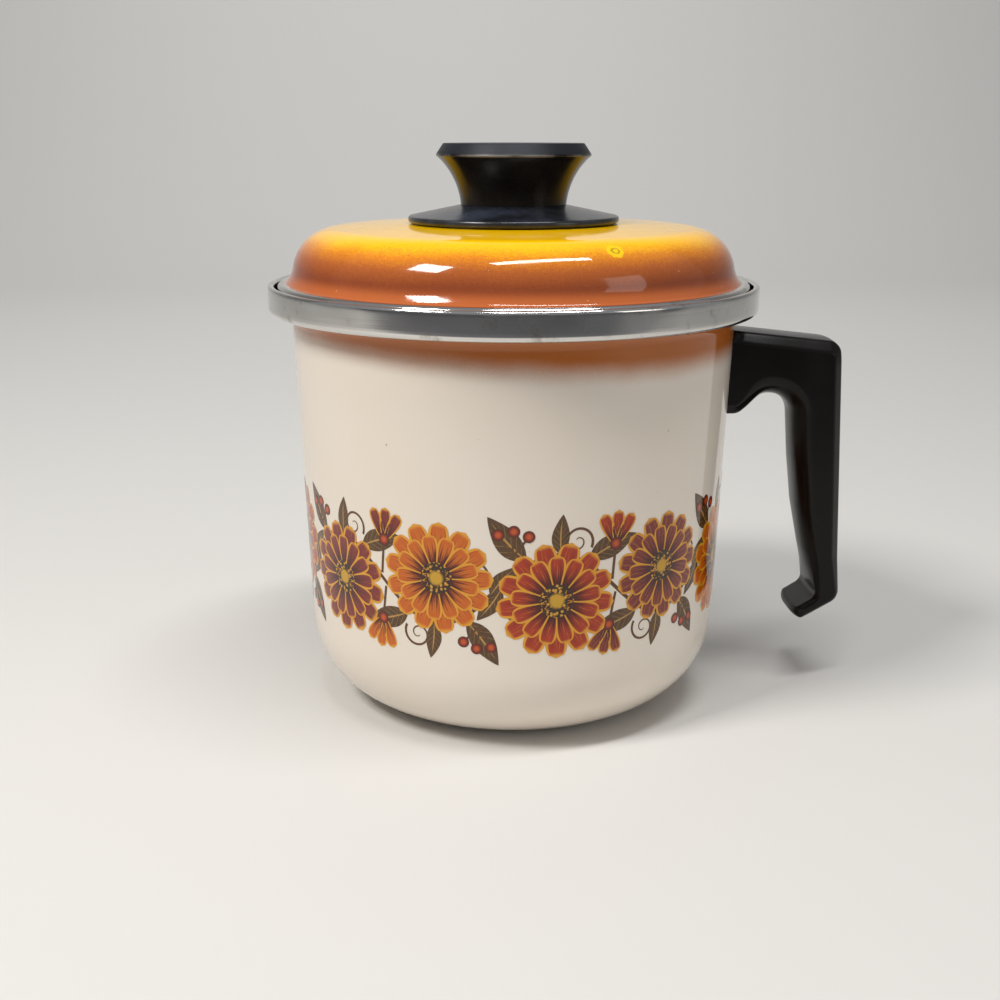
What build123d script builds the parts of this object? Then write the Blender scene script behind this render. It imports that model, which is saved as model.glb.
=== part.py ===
from build123d import *

import os
from math import atan2, copysign, cos, pi, radians, sin, tan

# A lidded enamel saucepot with one hooked handle, in millimetres. The origin is on the pot's axis in
# the plane of its base, +Z is up and the handle points along +X.

# Pot: one drawn sheet, enamelled, that turns out into a flat flange at the mouth
flange_height = 126.2  # underside of the flange above the base
mouth_radius = 70.0  # outside of the wall, carried up to the flange
wall_draft = 4.7  # how much narrower the wall is when carried down to the base
base_corner = 27.0  # outside radius between base and wall
pot_sheet = 1.2
flange_reach = 5.2  # flange beyond the wall
neck_corner = 4.0  # outside radius between wall and flange

# Rim bands: stainless strip rolled round the pot's flange and round the lid's edge
strip = 0.5
lip_height = 6.9  # the pot band's raised lip above its flange
lip_width = 2.0
lip_corner = 0.9
band_ledge = 2.8  # the pot band on top of the flange, inside the lip
hem_gap = 0.25  # between the pot band's turned-in hem and the start of the neck's bend
hem_corner = 1.8  # drawn in if the room beside the flange's edge is smaller
edge_room = 1.4  # between the flange's edge and the band
crease_corner = 0.5  # inside bend between ledge and lip

# Lid: one drawn sheet with a turned-down edge that the lid's own band wraps
lid_clearance = 0.9  # between the lid's band and the lip
seat_gap = 0.2  # between the lid's band and the ledge
lid_rim_height = 6.7
lid_rim_corner = 1.6
lid_hem_corner = 1.0
lid_hem = 2.6  # the lid's band turned in under its edge
lid_band_top = 1.7  # the lid's band lapped over the flange
crimp_gap = 0.1
lid_sheet = 0.8
flange_show = 0.08  # flat flange between the lid's band and the dome's first bend
skirt_share = 0.6  # room below the turned-down edge, as a share of the hem's inside bend
dome_height = 18.0  # knob seat above the lid's flange
dome_draft = 3.8  # how far the dome's wall leans in
dome_foot_corner = 2.3
shoulder_corner = 15.0
crown_drop = 1.7  # shoulder below the knob seat
crown_seat_radius = 34.0
crown_blend = 60.0

# Knob: a spool on a flange disc, both moulded, on a rubber gasket
gasket_thickness = 0.6
gasket_radius = 12.5
disc_radius = 33.0
disc_height = 5.7
disc_edge = 2.0
disc_edge_corner = 0.9
disc_rim = 3.0
disc_boss_radius = 13.0
disc_hollow = 1.8
disc_gap = 0.3  # disc's rim above the lid
neck_radius = 16.5
waist_radius = 18.2
waist_height = 6.8
cap_root_radius = 22.9
cap_root_drop = 1.2  # where the waist meets the cap, below the cap's edge
cap_radius = 24.3
cap_edge_height = 15.0
cap_bevel_height = 3.6
cap_bevel = 2.4
cap_corner = 0.5
spigot_radius = 9.0
spigot_length = 2.5
spigot_gap = 0.15

# Knob fixing: a pan-head screw from inside the lid into a moulded-in brass insert
screw_radius = 2.5
thread_gap = 0.05
hole_gap = 0.25
insert_radius = 4.4
insert_length = 11.0
insert_groove = 0.6
insert_groove_width = 2.5
screw_tip_room = 1.5
washer_thickness = 1.0
washer_radius = 8.0
head_radius = 4.7
head_height = 2.8
head_corner = 1.3
slot_width = 1.2
slot_depth = 1.3

# Handle: one moulded hook, an arm on the wall and a grip that hangs from it
arm_drop = 6.8  # top of the arm below the flange
arm_fall = 6.5  # degrees that the arm's top slopes down
arm_depth = 27.4  # at the wall
arm_root = 20.0  # run on into the wall before it is cut to fit
handle_width = 22.0
handle_bevel = 1.5
handle_reach = 35.5  # wall to the outside of the grip, at its top
grip_splay = 3.9  # how much farther out the grip is at its foot
shoulder_round = 4.5
finger_gap = 20.4  # wall to the inside of the grip, at its top
throat_rise = 5.8  # arch of the arm's underside
throat_width = 9.2  # the arch's top, from the grip back towards the wall
throat_round = 7.5
arch_run = 8.9  # slope from the arch's top down to the wall
arch_round = 5.5
arch_foot_round = 4.5
grip_waist_drop = 37.8  # where the grip's inside bends, below the throat
grip_waist_in = 3.3
grip_waist_round = 180.0
toe_clearance = 21.2  # toe above the base
heel_rise = 7.7
heel_round = 5.0
toe_back = 13.6  # lowest point of the toe, in from the heel
toe_round = 2.1
tip_back = 16.0  # tip of the toe, in from the heel
tip_rise = 3.4
tip_round = 2.1
ankle_back = 7.6
ankle_rise = 8.4
ankle_round = 3.0
saddle_gap = 0.2

# Handle fixing: a hat-shaped strap welded to the wall, a square nut in it and one screw
bracket_drop = 12.4  # screw below the top of the arm
bracket_sheet = 1.5
bracket_width = 12.0
bracket_height = 12.0
bracket_depth = 12.5
bracket_foot = 3.6
bracket_corner = 1.8
weld_sink = 0.5  # the flat feet bedded on the round wall
socket_gap = 0.3
wall_room = 3.0  # how far the socket's cut runs on into the wall
nut_height = 3.5
nut_gap = 0.15
handle_washer_thickness = 1.2
handle_washer_radius = 5.0
handle_head_height = 3.2
bolt_seat = 10.6  # plastic between the strap and the screw's washer
bolt_overrun = 2.0
bore_gap = 0.25

# Share of a run that the rounds at its two ends may take up, and of the smallest round that a bevel may
run_share = 0.96
bevel_share = 0.88

# Places worked out from the sizes above
foot_radius = mouth_radius - wall_draft
wall_lean = atan2(mouth_radius - foot_radius, flange_height)
neck_reach = neck_corner * tan((pi / 2 - wall_lean) / 2)
flange_top = flange_height + pot_sheet
ledge_top = flange_top + strip
flange_radius = mouth_radius + flange_reach
band_radius = flange_radius + edge_room + strip
hem_bend = min(hem_corner, edge_room + strip)
lip_inner_radius = band_radius - lip_width
lid_band_radius = lip_inner_radius - lid_clearance
lid_foot = ledge_top + seat_gap
lid_flange_top = lid_foot + lid_rim_height - strip
lid_rim_bend = min(lid_rim_corner, run_share * lid_band_top)
lid_edge_radius = lid_band_radius - strip - crimp_gap
lid_skirt_foot = lid_foot + strip + skirt_share * (lid_hem_corner - strip)
dome_foot_turn = atan2(dome_height - crown_drop, dome_draft)
dome_foot_reach = dome_foot_corner * tan(dome_foot_turn / 2)
dome_foot_radius = lid_band_radius - lid_band_top - flange_show - dome_foot_reach
lid_top = lid_flange_top + dome_height
lid_under = lid_top - lid_sheet
disc_top = lid_top + disc_height
spigot_foot = disc_top - spigot_length
fixing_bore = screw_radius + hole_gap
thread_bore = screw_radius + thread_gap
arm_top = flange_height - arm_drop
bracket_level = arm_top - bracket_drop
bracket_bends = [bracket_corner] * 4


def wall_radius(height):
    """Outside of the pot's straight wall at a height."""
    return foot_radius + height * tan(wall_lean)


def wall_solid(gap):
    """The inside of the pot's straight wall, grown by a gap, as a tool to cut with."""
    lower = wall_radius(0) + gap
    upper = wall_radius(flange_height) + gap
    profile = Polyline((0, 0), (lower, 0), (upper, flange_height), (0, flange_height), close=True)
    return turned(make_face(profile))


def turned(section):
    """A section of (radius, height) revolved about the pot's axis, with its seam away from the handle."""
    return Rot(Z=180) * revolve(Plane.XZ * section, Axis.Z)


def turns_of(points):
    """The runs of a path as vectors, and its turn at each inner corner, positive to the left."""
    corners = [Vector(*point) for point in points]
    runs = [end - start for start, end in zip(corners, corners[1:])]
    turns = [atan2(before.cross(after).Z, before.dot(after)) for before, after in zip(runs, runs[1:])]
    return runs, turns


def fitted_bends(points, bends):
    """Bend radii, drawn in where two neighbours would be too long for the run between them."""
    runs, turns = turns_of(points)
    reaches = [0, *(bend * tan(abs(turn) / 2) for bend, turn in zip(bends, turns)), 0]
    rooms = [run.length * run_share / (a + b) for run, a, b in zip(runs, reaches, reaches[1:])]
    return [bend * min(1, *room) for bend, room in zip(bends, zip(rooms, rooms[1:]))]


def shifted_path(points, bends, distance):
    """A path with rounded bends moved to its left by a distance, or to its right if that is negative."""
    runs, turns = turns_of(points)
    along = [run.normalized() for run in runs]
    sides = [Vector(-run.Y, run.X) * distance for run in along]
    moved = [Vector(*point) + side for point, side in zip(points, sides)]
    moved.append(Vector(*points[-1]) + sides[-1])
    for index, turn in enumerate(turns):
        moved[index + 1] = Vector(*points[index + 1]) + sides[index] - along[index] * distance * tan(turn / 2)
    return moved, [bend - distance * copysign(1, turn) for bend, turn in zip(bends, turns)]


def sheet_section(points, bends, thickness):
    """Section of bent sheet: a path with rounded bends, thickened to its left, or right if negative."""
    far_points, far_bends = shifted_path(points, bends, thickness)
    near_face = FilletPolyline(*points, radius=bends)
    far_face = FilletPolyline(*far_points, radius=far_bends)
    ends = [Line(points[0], far_points[0]), Line(points[-1], far_points[-1])]
    return make_face([near_face, far_face, *ends])


def ring(inner, outer, height):
    """A flat washer standing on the XY plane."""
    return extrude(Circle(outer) - Circle(inner), height)


def slotted_head(radius, height, corner):
    """A pan head standing on the XY plane, with a slot across its top."""
    profile = FilletPolyline((0, 0), (radius, 0), (radius, height), (0, height), radius=[0, corner])
    head = turned(make_face([profile, Line((0, height), (0, 0))]))
    slot_length = 3 * radius
    slot = extrude(Rectangle(slot_length, slot_width), slot_depth)
    return head - Pos(0, 0, height - slot_depth) * slot


# Pot
def make_pot_shell():
    path = [(0, 0), (foot_radius, 0), (mouth_radius, flange_height), (flange_radius, flange_height)]
    return turned(sheet_section(path, [base_corner, neck_corner], pot_sheet))


def make_pot_rim_band():
    path = [
        (lip_inner_radius - band_ledge, ledge_top),
        (lip_inner_radius, ledge_top),
        (lip_inner_radius, flange_top + lip_height),
        (band_radius, flange_top + lip_height),
        (band_radius, flange_height - strip),
        (mouth_radius + neck_reach + hem_gap, flange_height - strip),
    ]
    bends = [crease_corner, lip_corner, lip_corner, hem_bend]
    return turned(sheet_section(path, bends, -strip))


# Lid
def make_lid_shell():
    path = [
        (fixing_bore, lid_top),
        (crown_seat_radius, lid_top),
        (dome_foot_radius - dome_draft, lid_top - crown_drop),
        (dome_foot_radius, lid_flange_top),
        (lid_edge_radius, lid_flange_top),
        (lid_edge_radius, lid_skirt_foot),
    ]
    bends = [crown_blend, shoulder_corner, dome_foot_corner, lid_rim_bend - strip]
    return turned(sheet_section(path, fitted_bends(path, bends), -lid_sheet))


def make_lid_rim_band():
    path = [
        (lid_band_radius - lid_band_top, lid_flange_top + strip),
        (lid_band_radius, lid_flange_top + strip),
        (lid_band_radius, lid_foot),
        (lid_band_radius - lid_hem, lid_foot),
    ]
    return turned(sheet_section(path, [lid_rim_bend, lid_hem_corner], -strip))


# Knob
def make_knob_gasket():
    return Pos(0, 0, lid_top) * ring(fixing_bore, gasket_radius, gasket_thickness)


def make_knob_base():
    foot = lid_top + disc_gap
    boss_foot = lid_top + gasket_thickness
    pocket_radius = spigot_radius + spigot_gap
    pocket_floor = spigot_foot - spigot_gap
    corners = [
        (fixing_bore, boss_foot),
        (disc_boss_radius, boss_foot),
        (disc_boss_radius, foot + disc_hollow),
        (disc_radius - disc_rim, foot + disc_hollow),
        (disc_radius - disc_rim, foot),
        (disc_radius, foot),
        (disc_radius, foot + disc_edge),
        (neck_radius, disc_top),
        (pocket_radius, disc_top),
        (pocket_radius, pocket_floor),
        (fixing_bore, pocket_floor),
    ]
    bends = [0] * len(corners)
    bends[corners.index((disc_radius, foot))] = disc_edge_corner
    bends[corners.index((disc_radius, foot + disc_edge))] = disc_edge_corner
    return turned(make_face(FilletPolyline(*corners, radius=bends, close=True)))


def insert_blank():
    """The brass insert before it is bored: a bush with a groove that keys it into the moulding."""
    groove_foot = spigot_foot + (insert_length - insert_groove_width) / 2
    blank = Pos(0, 0, spigot_foot) * extrude(Circle(insert_radius), insert_length)
    groove = ring(insert_radius - insert_groove, 2 * insert_radius, insert_groove_width)
    return blank - Pos(0, 0, groove_foot) * groove


def make_knob_insert():
    bore = Pos(0, 0, spigot_foot) * extrude(Circle(thread_bore), insert_length)
    return insert_blank() - bore


def make_knob():
    cap_top = disc_top + cap_edge_height + cap_bevel_height
    root = (cap_root_radius, disc_top + cap_edge_height - cap_root_drop)
    waist = ThreePointArc((neck_radius, disc_top), (waist_radius, disc_top + waist_height), root)
    cap = FilletPolyline(
        root,
        (cap_radius, disc_top + cap_edge_height),
        (cap_radius - cap_bevel, cap_top),
        (0, cap_top),
        radius=cap_corner,
    )
    spigot = Polyline((0, cap_top), (0, spigot_foot), (spigot_radius, spigot_foot))
    step = Polyline((spigot_radius, spigot_foot), (spigot_radius, disc_top), (neck_radius, disc_top))
    return turned(make_face([waist, cap, spigot, step])) - insert_blank()


def make_knob_washer():
    return Pos(0, 0, lid_under - washer_thickness) * ring(fixing_bore, washer_radius, washer_thickness)


def make_knob_screw():
    seat = lid_under - washer_thickness
    shank_length = spigot_foot + insert_length - screw_tip_room - seat
    shank = extrude(Circle(screw_radius), shank_length)
    head = Rot(X=180) * slotted_head(head_radius, head_height, head_corner)
    return Pos(0, 0, seat) * (shank + head)


# Handle
def handle_path():
    """The hook seen from the side, as (distance from the axis, height), run on into the wall."""
    wall = wall_radius(arm_top)
    root = wall - arm_root
    throat_top = arm_top - arm_depth + throat_rise
    outside = wall + handle_reach
    heel = outside + grip_splay
    inside = wall + finger_gap
    points = [
        (root, arm_top + arm_root * tan(radians(arm_fall))),
        (outside, arm_top - handle_reach * tan(radians(arm_fall))),
        (heel, toe_clearance + heel_rise),
        (heel - toe_back, toe_clearance),
        (heel - tip_back, toe_clearance + tip_rise),
        (heel - ankle_back, toe_clearance + ankle_rise),
        (inside + grip_waist_in, throat_top - grip_waist_drop),
        (inside, throat_top),
        (inside - throat_width, throat_top),
        (inside - throat_width - arch_run, throat_top - throat_rise),
        (root, throat_top - throat_rise),
    ]
    bends = [
        shoulder_round,
        heel_round,
        toe_round,
        tip_round,
        ankle_round,
        grip_waist_round,
        throat_round,
        arch_round,
        arch_foot_round,
    ]
    return points, fitted_bends(points, bends)


def handle_section(inset, side):
    """The hook's outline drawn in by an inset, as a face at a distance to one side."""
    points, bends = shifted_path(*handle_path(), -inset)
    outline = make_face([FilletPolyline(*points, radius=bends), Line(points[-1], points[0])])
    return Pos(0, side, 0) * (Plane.XZ * outline)


def on_wall(shape):
    """Puts a fixing on the wall: its Z is square to the wall, its Y up the wall, its X across."""
    outward = (cos(wall_lean), 0, -sin(wall_lean))
    origin = (wall_radius(bracket_level), 0, bracket_level)
    return Plane(origin, x_dir=(0, 1, 0), z_dir=outward) * shape


def make_handle():
    side = handle_width / 2
    points, bends = handle_path()
    outer_bends = [bend for bend, turn in zip(bends, turns_of(points)[1]) if turn < 0]
    bevel = min(handle_bevel, bevel_share * min(outer_bends))
    core_side = side - bevel
    core = extrude(handle_section(0, 0), core_side, both=True)
    bevelled_side = loft([handle_section(0, -core_side), handle_section(bevel, -side)], ruled=True)
    hook = core + bevelled_side + mirror(bevelled_side, Plane.XZ)
    path, bends = shifted_path(bracket_path(socket_gap), bracket_bends, -socket_gap)
    wall_side = Polyline(path[-1], (path[-1].X, -wall_room), (path[0].X, -wall_room), path[0])
    socket_section = make_face([FilletPolyline(*path, radius=bends), wall_side])
    socket = extrude(Plane.YZ * socket_section, bracket_width / 2 + socket_gap, both=True)
    bore = extrude(Circle(screw_radius + bore_gap), bracket_depth + bolt_seat)
    well_radius = max(handle_washer_radius, head_radius) + bore_gap
    well = Pos(0, 0, bracket_depth + bolt_seat) * extrude(Circle(well_radius), handle_reach)
    return hook - wall_solid(saddle_gap) - on_wall(socket) - on_wall(bore) - on_wall(well)


def bracket_path(foot_room):
    """Outer face of the hat-shaped strap, as (up the wall, out from it), with longer feet if asked."""
    half = bracket_height / 2
    foot_end = half + bracket_foot + foot_room
    foot_face = bracket_sheet - weld_sink
    upper = [(foot_end, foot_face), (half, foot_face), (half, bracket_depth)]
    return upper + [(-up, out) for up, out in reversed(upper)]


def make_handle_bracket():
    section = sheet_section(bracket_path(0), bracket_bends, bracket_sheet)
    strap = extrude(Plane.YZ * section, bracket_width / 2, both=True)
    hole = extrude(Circle(screw_radius + bore_gap), bracket_depth)
    return on_wall(strap - hole) - wall_solid(0)


def make_bracket_nut():
    across = bracket_height - 2 * (bracket_corner + nut_gap)
    blank = extrude(Rectangle(across, across) - Circle(thread_bore), nut_height)
    return on_wall(Pos(0, 0, bracket_depth - bracket_sheet - nut_height) * blank)


def make_handle_washer():
    return on_wall(
        Pos(0, 0, bracket_depth + bolt_seat)
        * ring(screw_radius + bore_gap, handle_washer_radius, handle_washer_thickness)
    )


def make_handle_screw():
    seat = bracket_depth + bolt_seat + handle_washer_thickness
    tip = bracket_depth - bracket_sheet - nut_height - bolt_overrun
    shank = Pos(0, 0, tip) * extrude(Circle(screw_radius), seat - tip)
    head = Pos(0, 0, seat) * slotted_head(head_radius, handle_head_height, head_corner)
    return on_wall(shank + head)


pieces = {
    "pot_shell": make_pot_shell(),
    "pot_rim_band": make_pot_rim_band(),
    "handle": make_handle(),
    "handle_bracket": make_handle_bracket(),
    "bracket_nut": make_bracket_nut(),
    "handle_screw": make_handle_screw(),
    "handle_washer": make_handle_washer(),
    "lid_shell": make_lid_shell(),
    "lid_rim_band": make_lid_rim_band(),
    "knob_base": make_knob_base(),
    "knob": make_knob(),
    "knob_insert": make_knob_insert(),
    "knob_gasket": make_knob_gasket(),
    "knob_washer": make_knob_washer(),
    "knob_screw": make_knob_screw(),
}

os.makedirs("parts", exist_ok=True)
for name, piece in pieces.items():
    export_step(piece, f"parts/{name}.step")
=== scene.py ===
# %% [markdown]
# # A lidded enamel pot
# A small saucepot: a drawn pot in cream enamel, a domed lid sprayed from yellow to brown, two bright rim
# bands, and a knob and handle of black moulding. Its solids already stand in a shared frame, in metres.
# So nothing here is moved to fit: each piece is made where the frame says it is, and stands for the
# plain solid there.

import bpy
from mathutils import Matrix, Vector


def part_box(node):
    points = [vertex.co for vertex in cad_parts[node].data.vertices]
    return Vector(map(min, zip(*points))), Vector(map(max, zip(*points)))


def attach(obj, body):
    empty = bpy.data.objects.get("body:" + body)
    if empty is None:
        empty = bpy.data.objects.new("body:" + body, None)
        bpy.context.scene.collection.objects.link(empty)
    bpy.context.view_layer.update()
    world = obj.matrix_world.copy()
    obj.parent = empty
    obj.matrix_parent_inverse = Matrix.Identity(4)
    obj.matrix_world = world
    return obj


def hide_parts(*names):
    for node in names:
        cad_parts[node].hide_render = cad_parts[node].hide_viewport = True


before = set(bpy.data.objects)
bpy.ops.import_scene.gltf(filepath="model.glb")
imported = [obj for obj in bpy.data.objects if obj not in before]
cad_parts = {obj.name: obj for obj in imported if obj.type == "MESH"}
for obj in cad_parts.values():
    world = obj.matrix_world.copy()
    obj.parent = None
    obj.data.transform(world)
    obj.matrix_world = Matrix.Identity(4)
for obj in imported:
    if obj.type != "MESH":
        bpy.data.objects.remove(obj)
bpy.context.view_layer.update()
print("solids in the frame:", ", ".join(sorted(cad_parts)))

# %% [markdown]
# ## Sizes
# Everything round on this pot shares one axis, so a node's box already tells most of its sizes: half the
# width is a radius, and the lowest and highest corners are heights. The rest are bends and sheet
# thicknesses, which a box can't show, so each is written once, where it is first needed, in metres.

# %% Sizes
from math import atan2, ceil, cos, pi, radians, sin, sqrt, tan

import bmesh
import bpy
from mathutils import Color, Matrix, Vector

mm = 0.001
scene = bpy.context.scene
scene.view_settings.view_transform = "Standard"


def radius_of(node):
    """Outer radius of a round node on the pot's axis."""
    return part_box(node)[1].y


def foot_of(node):
    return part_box(node)[0].z


def top_of(node):
    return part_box(node)[1].z


pot_sheet = 1.2 * mm
foot_radius = 65.3 * mm
mouth_radius = 70.0 * mm
flange_top = top_of("pot_shell")
flange_under = flange_top - pot_sheet
wall_slope = (mouth_radius - foot_radius) / flange_under
print(f"mouth {2 * mouth_radius / mm:.0f} mm across, flange {flange_top / mm:.1f} mm up")


def wall_radius(height):
    """Outside of the pot's straight wall."""
    return foot_radius + height * wall_slope


# %% [markdown]
# ## Rounded paths
# Pressed sheet and mouldings have no sharp corners, and it is the small rounds that catch the light. A
# section is therefore written as a few corners with a bend radius each, and this helper walks it in short
# steps. A second helper gives a path its thickness: it shifts every run sideways, and each bend's radius
# grows or shrinks by the same amount.

# %% Path helpers
arc_step = radians(7)
least_step = 1e-6


def turn_between(into, out):
    """Angle from one direction to the next, positive to the left."""
    return atan2(into.x * out.y - into.y * out.x, into.dot(out))


def rounded_path(corners, bends, step):
    """Points along a path with rounded corners, with straight runs divided into short steps."""
    corners = [Vector(corner) for corner in corners]
    points = [corners[0]]

    def run_to(target):
        start = points[-1]
        count = ceil((target - start).length / step - least_step)
        points.extend(start.lerp(target, (i + 1) / count) for i in range(count))

    for before, corner, after, bend in zip(corners, corners[1:], corners[2:], bends):
        into, out = (corner - before).normalized(), (after - corner).normalized()
        turn = turn_between(into, out)
        run_to(corner - into * bend * tan(abs(turn) / 2))
        side = Vector((-into.y, into.x)) * bend * (1 if turn > 0 else -1)
        centre = points[-1] + side
        count = ceil(abs(turn) / arc_step) if bend else 0
        points.extend(centre - Matrix.Rotation(turn * (i + 1) / count, 2) @ side for i in range(count))
    run_to(corners[-1])
    return points


def sheet_outline(corners, bends, thickness, step):
    """Closed outline of bent sheet, thickened to the left of its path, or to the right if negative."""
    corners = [Vector(corner) for corner in corners]
    runs = [(end - start).normalized() for start, end in zip(corners, corners[1:])]
    sides = [Vector((-run.y, run.x)) * thickness for run in runs]
    far = [corner + side for corner, side in zip(corners, sides)] + [corners[-1] + sides[-1]]
    far_bends = []
    for i, bend in enumerate(bends):
        turn = turn_between(runs[i], runs[i + 1])
        far[i + 1] = corners[i + 1] + sides[i] - runs[i] * thickness * tan(turn / 2)
        far_bends.append(bend - thickness * (1 if turn > 0 else -1))
    near_points = rounded_path(corners, bends, step)
    far_points = rounded_path(far, far_bends, step)
    return near_points + far_points[::-1] + near_points[:1], len(near_points)


def arc_through(start, middle, end, count):
    """Points of the arc through three points."""
    a, b, c = Vector(start), Vector(middle), Vector(end)
    ab, ac = b - a, c - a
    doubled = 2 * (ab.x * ac.y - ab.y * ac.x)
    offset = Vector((ac.y * ab.length_squared - ab.y * ac.length_squared,
                     ab.x * ac.length_squared - ac.x * ab.length_squared)) / doubled
    turn = turn_between(-offset, ac - offset)
    return [a + offset - Matrix.Rotation(turn * i / count, 2) @ offset for i in range(count + 1)]


# %% [markdown]
# ## Meshes and objects
# A mesh is only data, and an object puts it into the scene. Modifiers are a recipe on the object, and what
# leaves Blender has to be a plain mesh. So each recipe is run as soon as it is complete, and its result kept.

# %% Mesh helpers
def new_mesh(name, vertices, faces=()):
    mesh = bpy.data.meshes.new(name)
    mesh.from_pydata(vertices, [], faces)
    return mesh


def add_object(name, data):
    """Puts a mesh, a lamp or a camera into the scene."""
    added = bpy.data.objects.new(name, data)
    scene.collection.objects.link(added)
    return added


def plain_mesh(piece):
    """Turns a piece's modifiers into its mesh."""
    evaluated = piece.evaluated_get(bpy.context.evaluated_depsgraph_get())
    piece.data = bpy.data.meshes.new_from_object(evaluated)
    piece.modifiers.clear()


def outward(piece):
    """Points the faces of a closed mesh outwards."""
    shape = bmesh.new()
    shape.from_mesh(piece.data)
    bmesh.ops.recalc_face_normals(shape, faces=shape.faces)
    shape.to_mesh(piece.data)
    shape.free()


# %% [markdown]
# ## Writing node trees as sums
# Node trees are easy to read when they look like the formula that they compute. A `Term` wraps a socket,
# and adding or multiplying two terms adds a Math node. The same class serves the geometry trees and the
# finishes, because both kinds of tree know the Math node. A socket knows its own tree, so most helpers
# needn't be told which tree they add to.

# %% Terms
def maths(operation):
    """A method that adds one Math node."""
    return lambda term, *others: term.calc(operation, *others)


class Term:
    """A node socket that can be used in a sum: each operation adds one Math node to its tree."""

    def __init__(self, socket):
        self.socket = socket
        self.tree = socket.id_data

    def calc(self, operation, *others):
        node = put(self.tree, "ShaderNodeMath", enumerate((self, *others)), operation=operation)
        return Term(node.outputs[0])

    def __rsub__(self, other):
        return self.calc("MULTIPLY_ADD", -1.0, other)

    __add__ = __radd__ = maths("ADD")
    __sub__ = maths("SUBTRACT")
    __mul__ = __rmul__ = maths("MULTIPLY")
    __truediv__ = maths("DIVIDE")
    __mod__ = maths("MODULO")
    __pow__ = maths("POWER")
    __abs__ = maths("ABSOLUTE")
    sin = maths("SINE")
    cos = maths("COSINE")
    floor = maths("FLOOR")
    root = maths("SQRT")
    over = maths("GREATER_THAN")


# %% Node helpers
def feed(slot, value):
    """Links a socket or a term to an input, or sets the input's own value."""
    if isinstance(value, Term):
        value = value.socket
    if isinstance(value, bpy.types.NodeSocket):
        slot.id_data.links.new(value, slot)
    else:
        slot.default_value = value


def put(tree, kind, feeds=(), **options):
    """Adds a node, sets its options and feeds its inputs, given by name or number."""
    node = tree.nodes.new(kind)
    for option, value in options.items():
        setattr(node, option, value)
    for slot, value in dict(feeds).items():
        feed(node.inputs[slot], value)
    return node


def apart(vector):
    """The X, Y and Z of a vector as three terms."""
    return [Term(socket) for socket in put(vector.id_data, "ShaderNodeSeparateXYZ", {0: vector}).outputs]


def together(x, y, z):
    """A vector from three numbers, of which at least one is a term."""
    tree = next(part.tree for part in (x, y, z) if isinstance(part, Term))
    return put(tree, "ShaderNodeCombineXYZ", {0: x, 1: y, 2: z}).outputs[0]


# %% Geometry tree helpers
def new_tree(name, **inputs):
    """A Geometry Nodes tree with geometry in and out, and named inputs listed by their type of socket."""
    tree = bpy.data.node_groups.new(name, "GeometryNodeTree")
    for kind, labels in {"Geometry": ["Geometry"], **inputs}.items():
        for label in labels:
            tree.interface.new_socket(label, in_out="INPUT", socket_type=f"NodeSocket{kind}")
    tree.interface.new_socket("Geometry", in_out="OUTPUT", socket_type="NodeSocketGeometry")
    return tree, tree.nodes.new("NodeGroupInput").outputs, tree.nodes.new("NodeGroupOutput").inputs


def run_tree(name, mesh, tree, values):
    """Makes an object, runs a tree on its mesh with the given inputs, and keeps the plain result."""
    piece = add_object(name, mesh)
    modifier = piece.modifiers.new(tree.name, "NODES")
    modifier.node_group = tree
    for label, value in values.items():
        modifier[tree.interface.items_tree[label].identifier] = value
    plain_mesh(piece)
    return piece


def position_in(tree):
    return put(tree, "GeometryNodeInputPosition").outputs[0]


def index_in(tree):
    """The number of each point, as a term."""
    return Term(put(tree, "GeometryNodeInputIndex").outputs[0])


def moved(mesh, place):
    """A mesh with its points put in new places."""
    return put(mesh.id_data, "GeometryNodeSetPosition", {0: mesh, "Position": place}).outputs[0]


def stored(mesh, domain="POINT", **numbers):
    """Keeps named numbers on a mesh or on instances."""
    for label, number in numbers.items():
        feeds = {"Geometry": mesh, "Name": label, "Value": number}
        kind = "GeometryNodeStoreNamedAttribute"
        mesh = put(mesh.id_data, kind, feeds, data_type="FLOAT", domain=domain).outputs[0]
    return mesh


# %% [markdown]
# ## A lathe
# The pot, the lid, both bands, the knob and its disc are all turned about one axis. Blender's Screw
# modifier could do that, but a small Geometry Nodes tree shows the rule itself: a grid whose columns are
# angles and whose rows are the points of a section. Every grid point looks up its row's radius and height
# and swings to its column's angle. Rows past a given one can take a second finish, for an inside.

# %% The lathe tree
crease = radians(32)
weld = 0.002 * mm


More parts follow.
